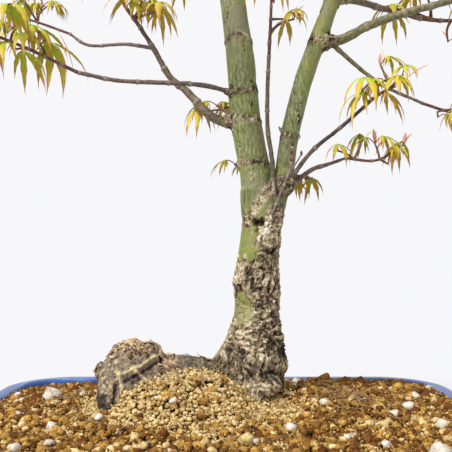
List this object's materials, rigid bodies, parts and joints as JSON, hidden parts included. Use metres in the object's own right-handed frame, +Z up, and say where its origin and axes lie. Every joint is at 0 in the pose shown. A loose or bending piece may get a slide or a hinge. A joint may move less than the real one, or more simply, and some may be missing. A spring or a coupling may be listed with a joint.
{
  "type": "potted bonsai maple tree",
  "caption": "Small maple tree in the bonsai style: corky trunk forking into two green limbs, spring leaf sprays, old surface root, granule soil, blue-glazed tray pot.",
  "frame": {"origin": "under the middle of the whole plant's bounding box, on the surface that the pot's feet stand on", "axes": "+Z up; +X to the right along the pot's long side, -Y towards the viewer's side, as in the picture"},
  "size_m": [0.3726, 0.283, 0.5513],
  "materials": {
    "glazed_pot": "cobalt-blue glossy glaze",
    "granule_soil": "dry baked-clay and pumice granules",
    "cork_bark": "rough corky bark",
    "green_bark": "smooth green young bark",
    "twig_bark": "smooth reddish-brown twig bark",
    "spring_leaf": "thin lime and amber young leaves"
  },
  "bodies": {
    "root": {"pot": "glazed_pot", "soil": "granule_soil", "trunk": "cork_bark", "surface_root": "cork_bark", "left_limb": "green_bark", "right_limb": "green_bark", "bough_left_rising": "twig_bark", "bough_left_long": "twig_bark", "bough_left_side": "twig_bark", "bough_inner": "twig_bark", "bough_right_front": "twig_bark", "bough_right_low": "twig_bark", "bud_twig": "twig_bark", "bough_right_long": "twig_bark", "bough_right_drop": "twig_bark", "bough_right_high": "twig_bark", "bough_left_back": "twig_bark", "bough_left_front": "twig_bark", "bough_left_outer": "twig_bark", "bough_crown_back": "twig_bark", "bough_crown_front": "twig_bark", "bough_crown_left": "twig_bark", "bough_right_back": "twig_bark", "bough_right_outer": "twig_bark", "bough_right_fore": "twig_bark", "bough_right_inner": "twig_bark", "leaves_left_low": "spring_leaf", "leaves_left_side": "spring_leaf", "leaves_left_rising": "spring_leaf", "leaves_left_under": "spring_leaf", "leaves_behind": "spring_leaf", "leaves_inner": "spring_leaf", "leaves_right_front": "spring_leaf", "leaves_right_low": "spring_leaf", "leaves_fork": "spring_leaf", "leaves_right_long": "spring_leaf", "leaves_right_drop": "spring_leaf", "leaves_right_high": "spring_leaf", "leaves_left_back": "spring_leaf", "leaves_left_front": "spring_leaf", "leaves_left_outer": "spring_leaf", "leaves_crown_back": "spring_leaf", "leaves_crown_front": "spring_leaf", "leaves_crown_left": "spring_leaf", "leaves_crown_top": "spring_leaf", "leaves_right_back": "spring_leaf", "leaves_right_outer": "spring_leaf", "leaves_right_fore": "spring_leaf", "leaves_right_inner": "spring_leaf", "leaves_right_top": "spring_leaf"}
  },
  "joints": []
}
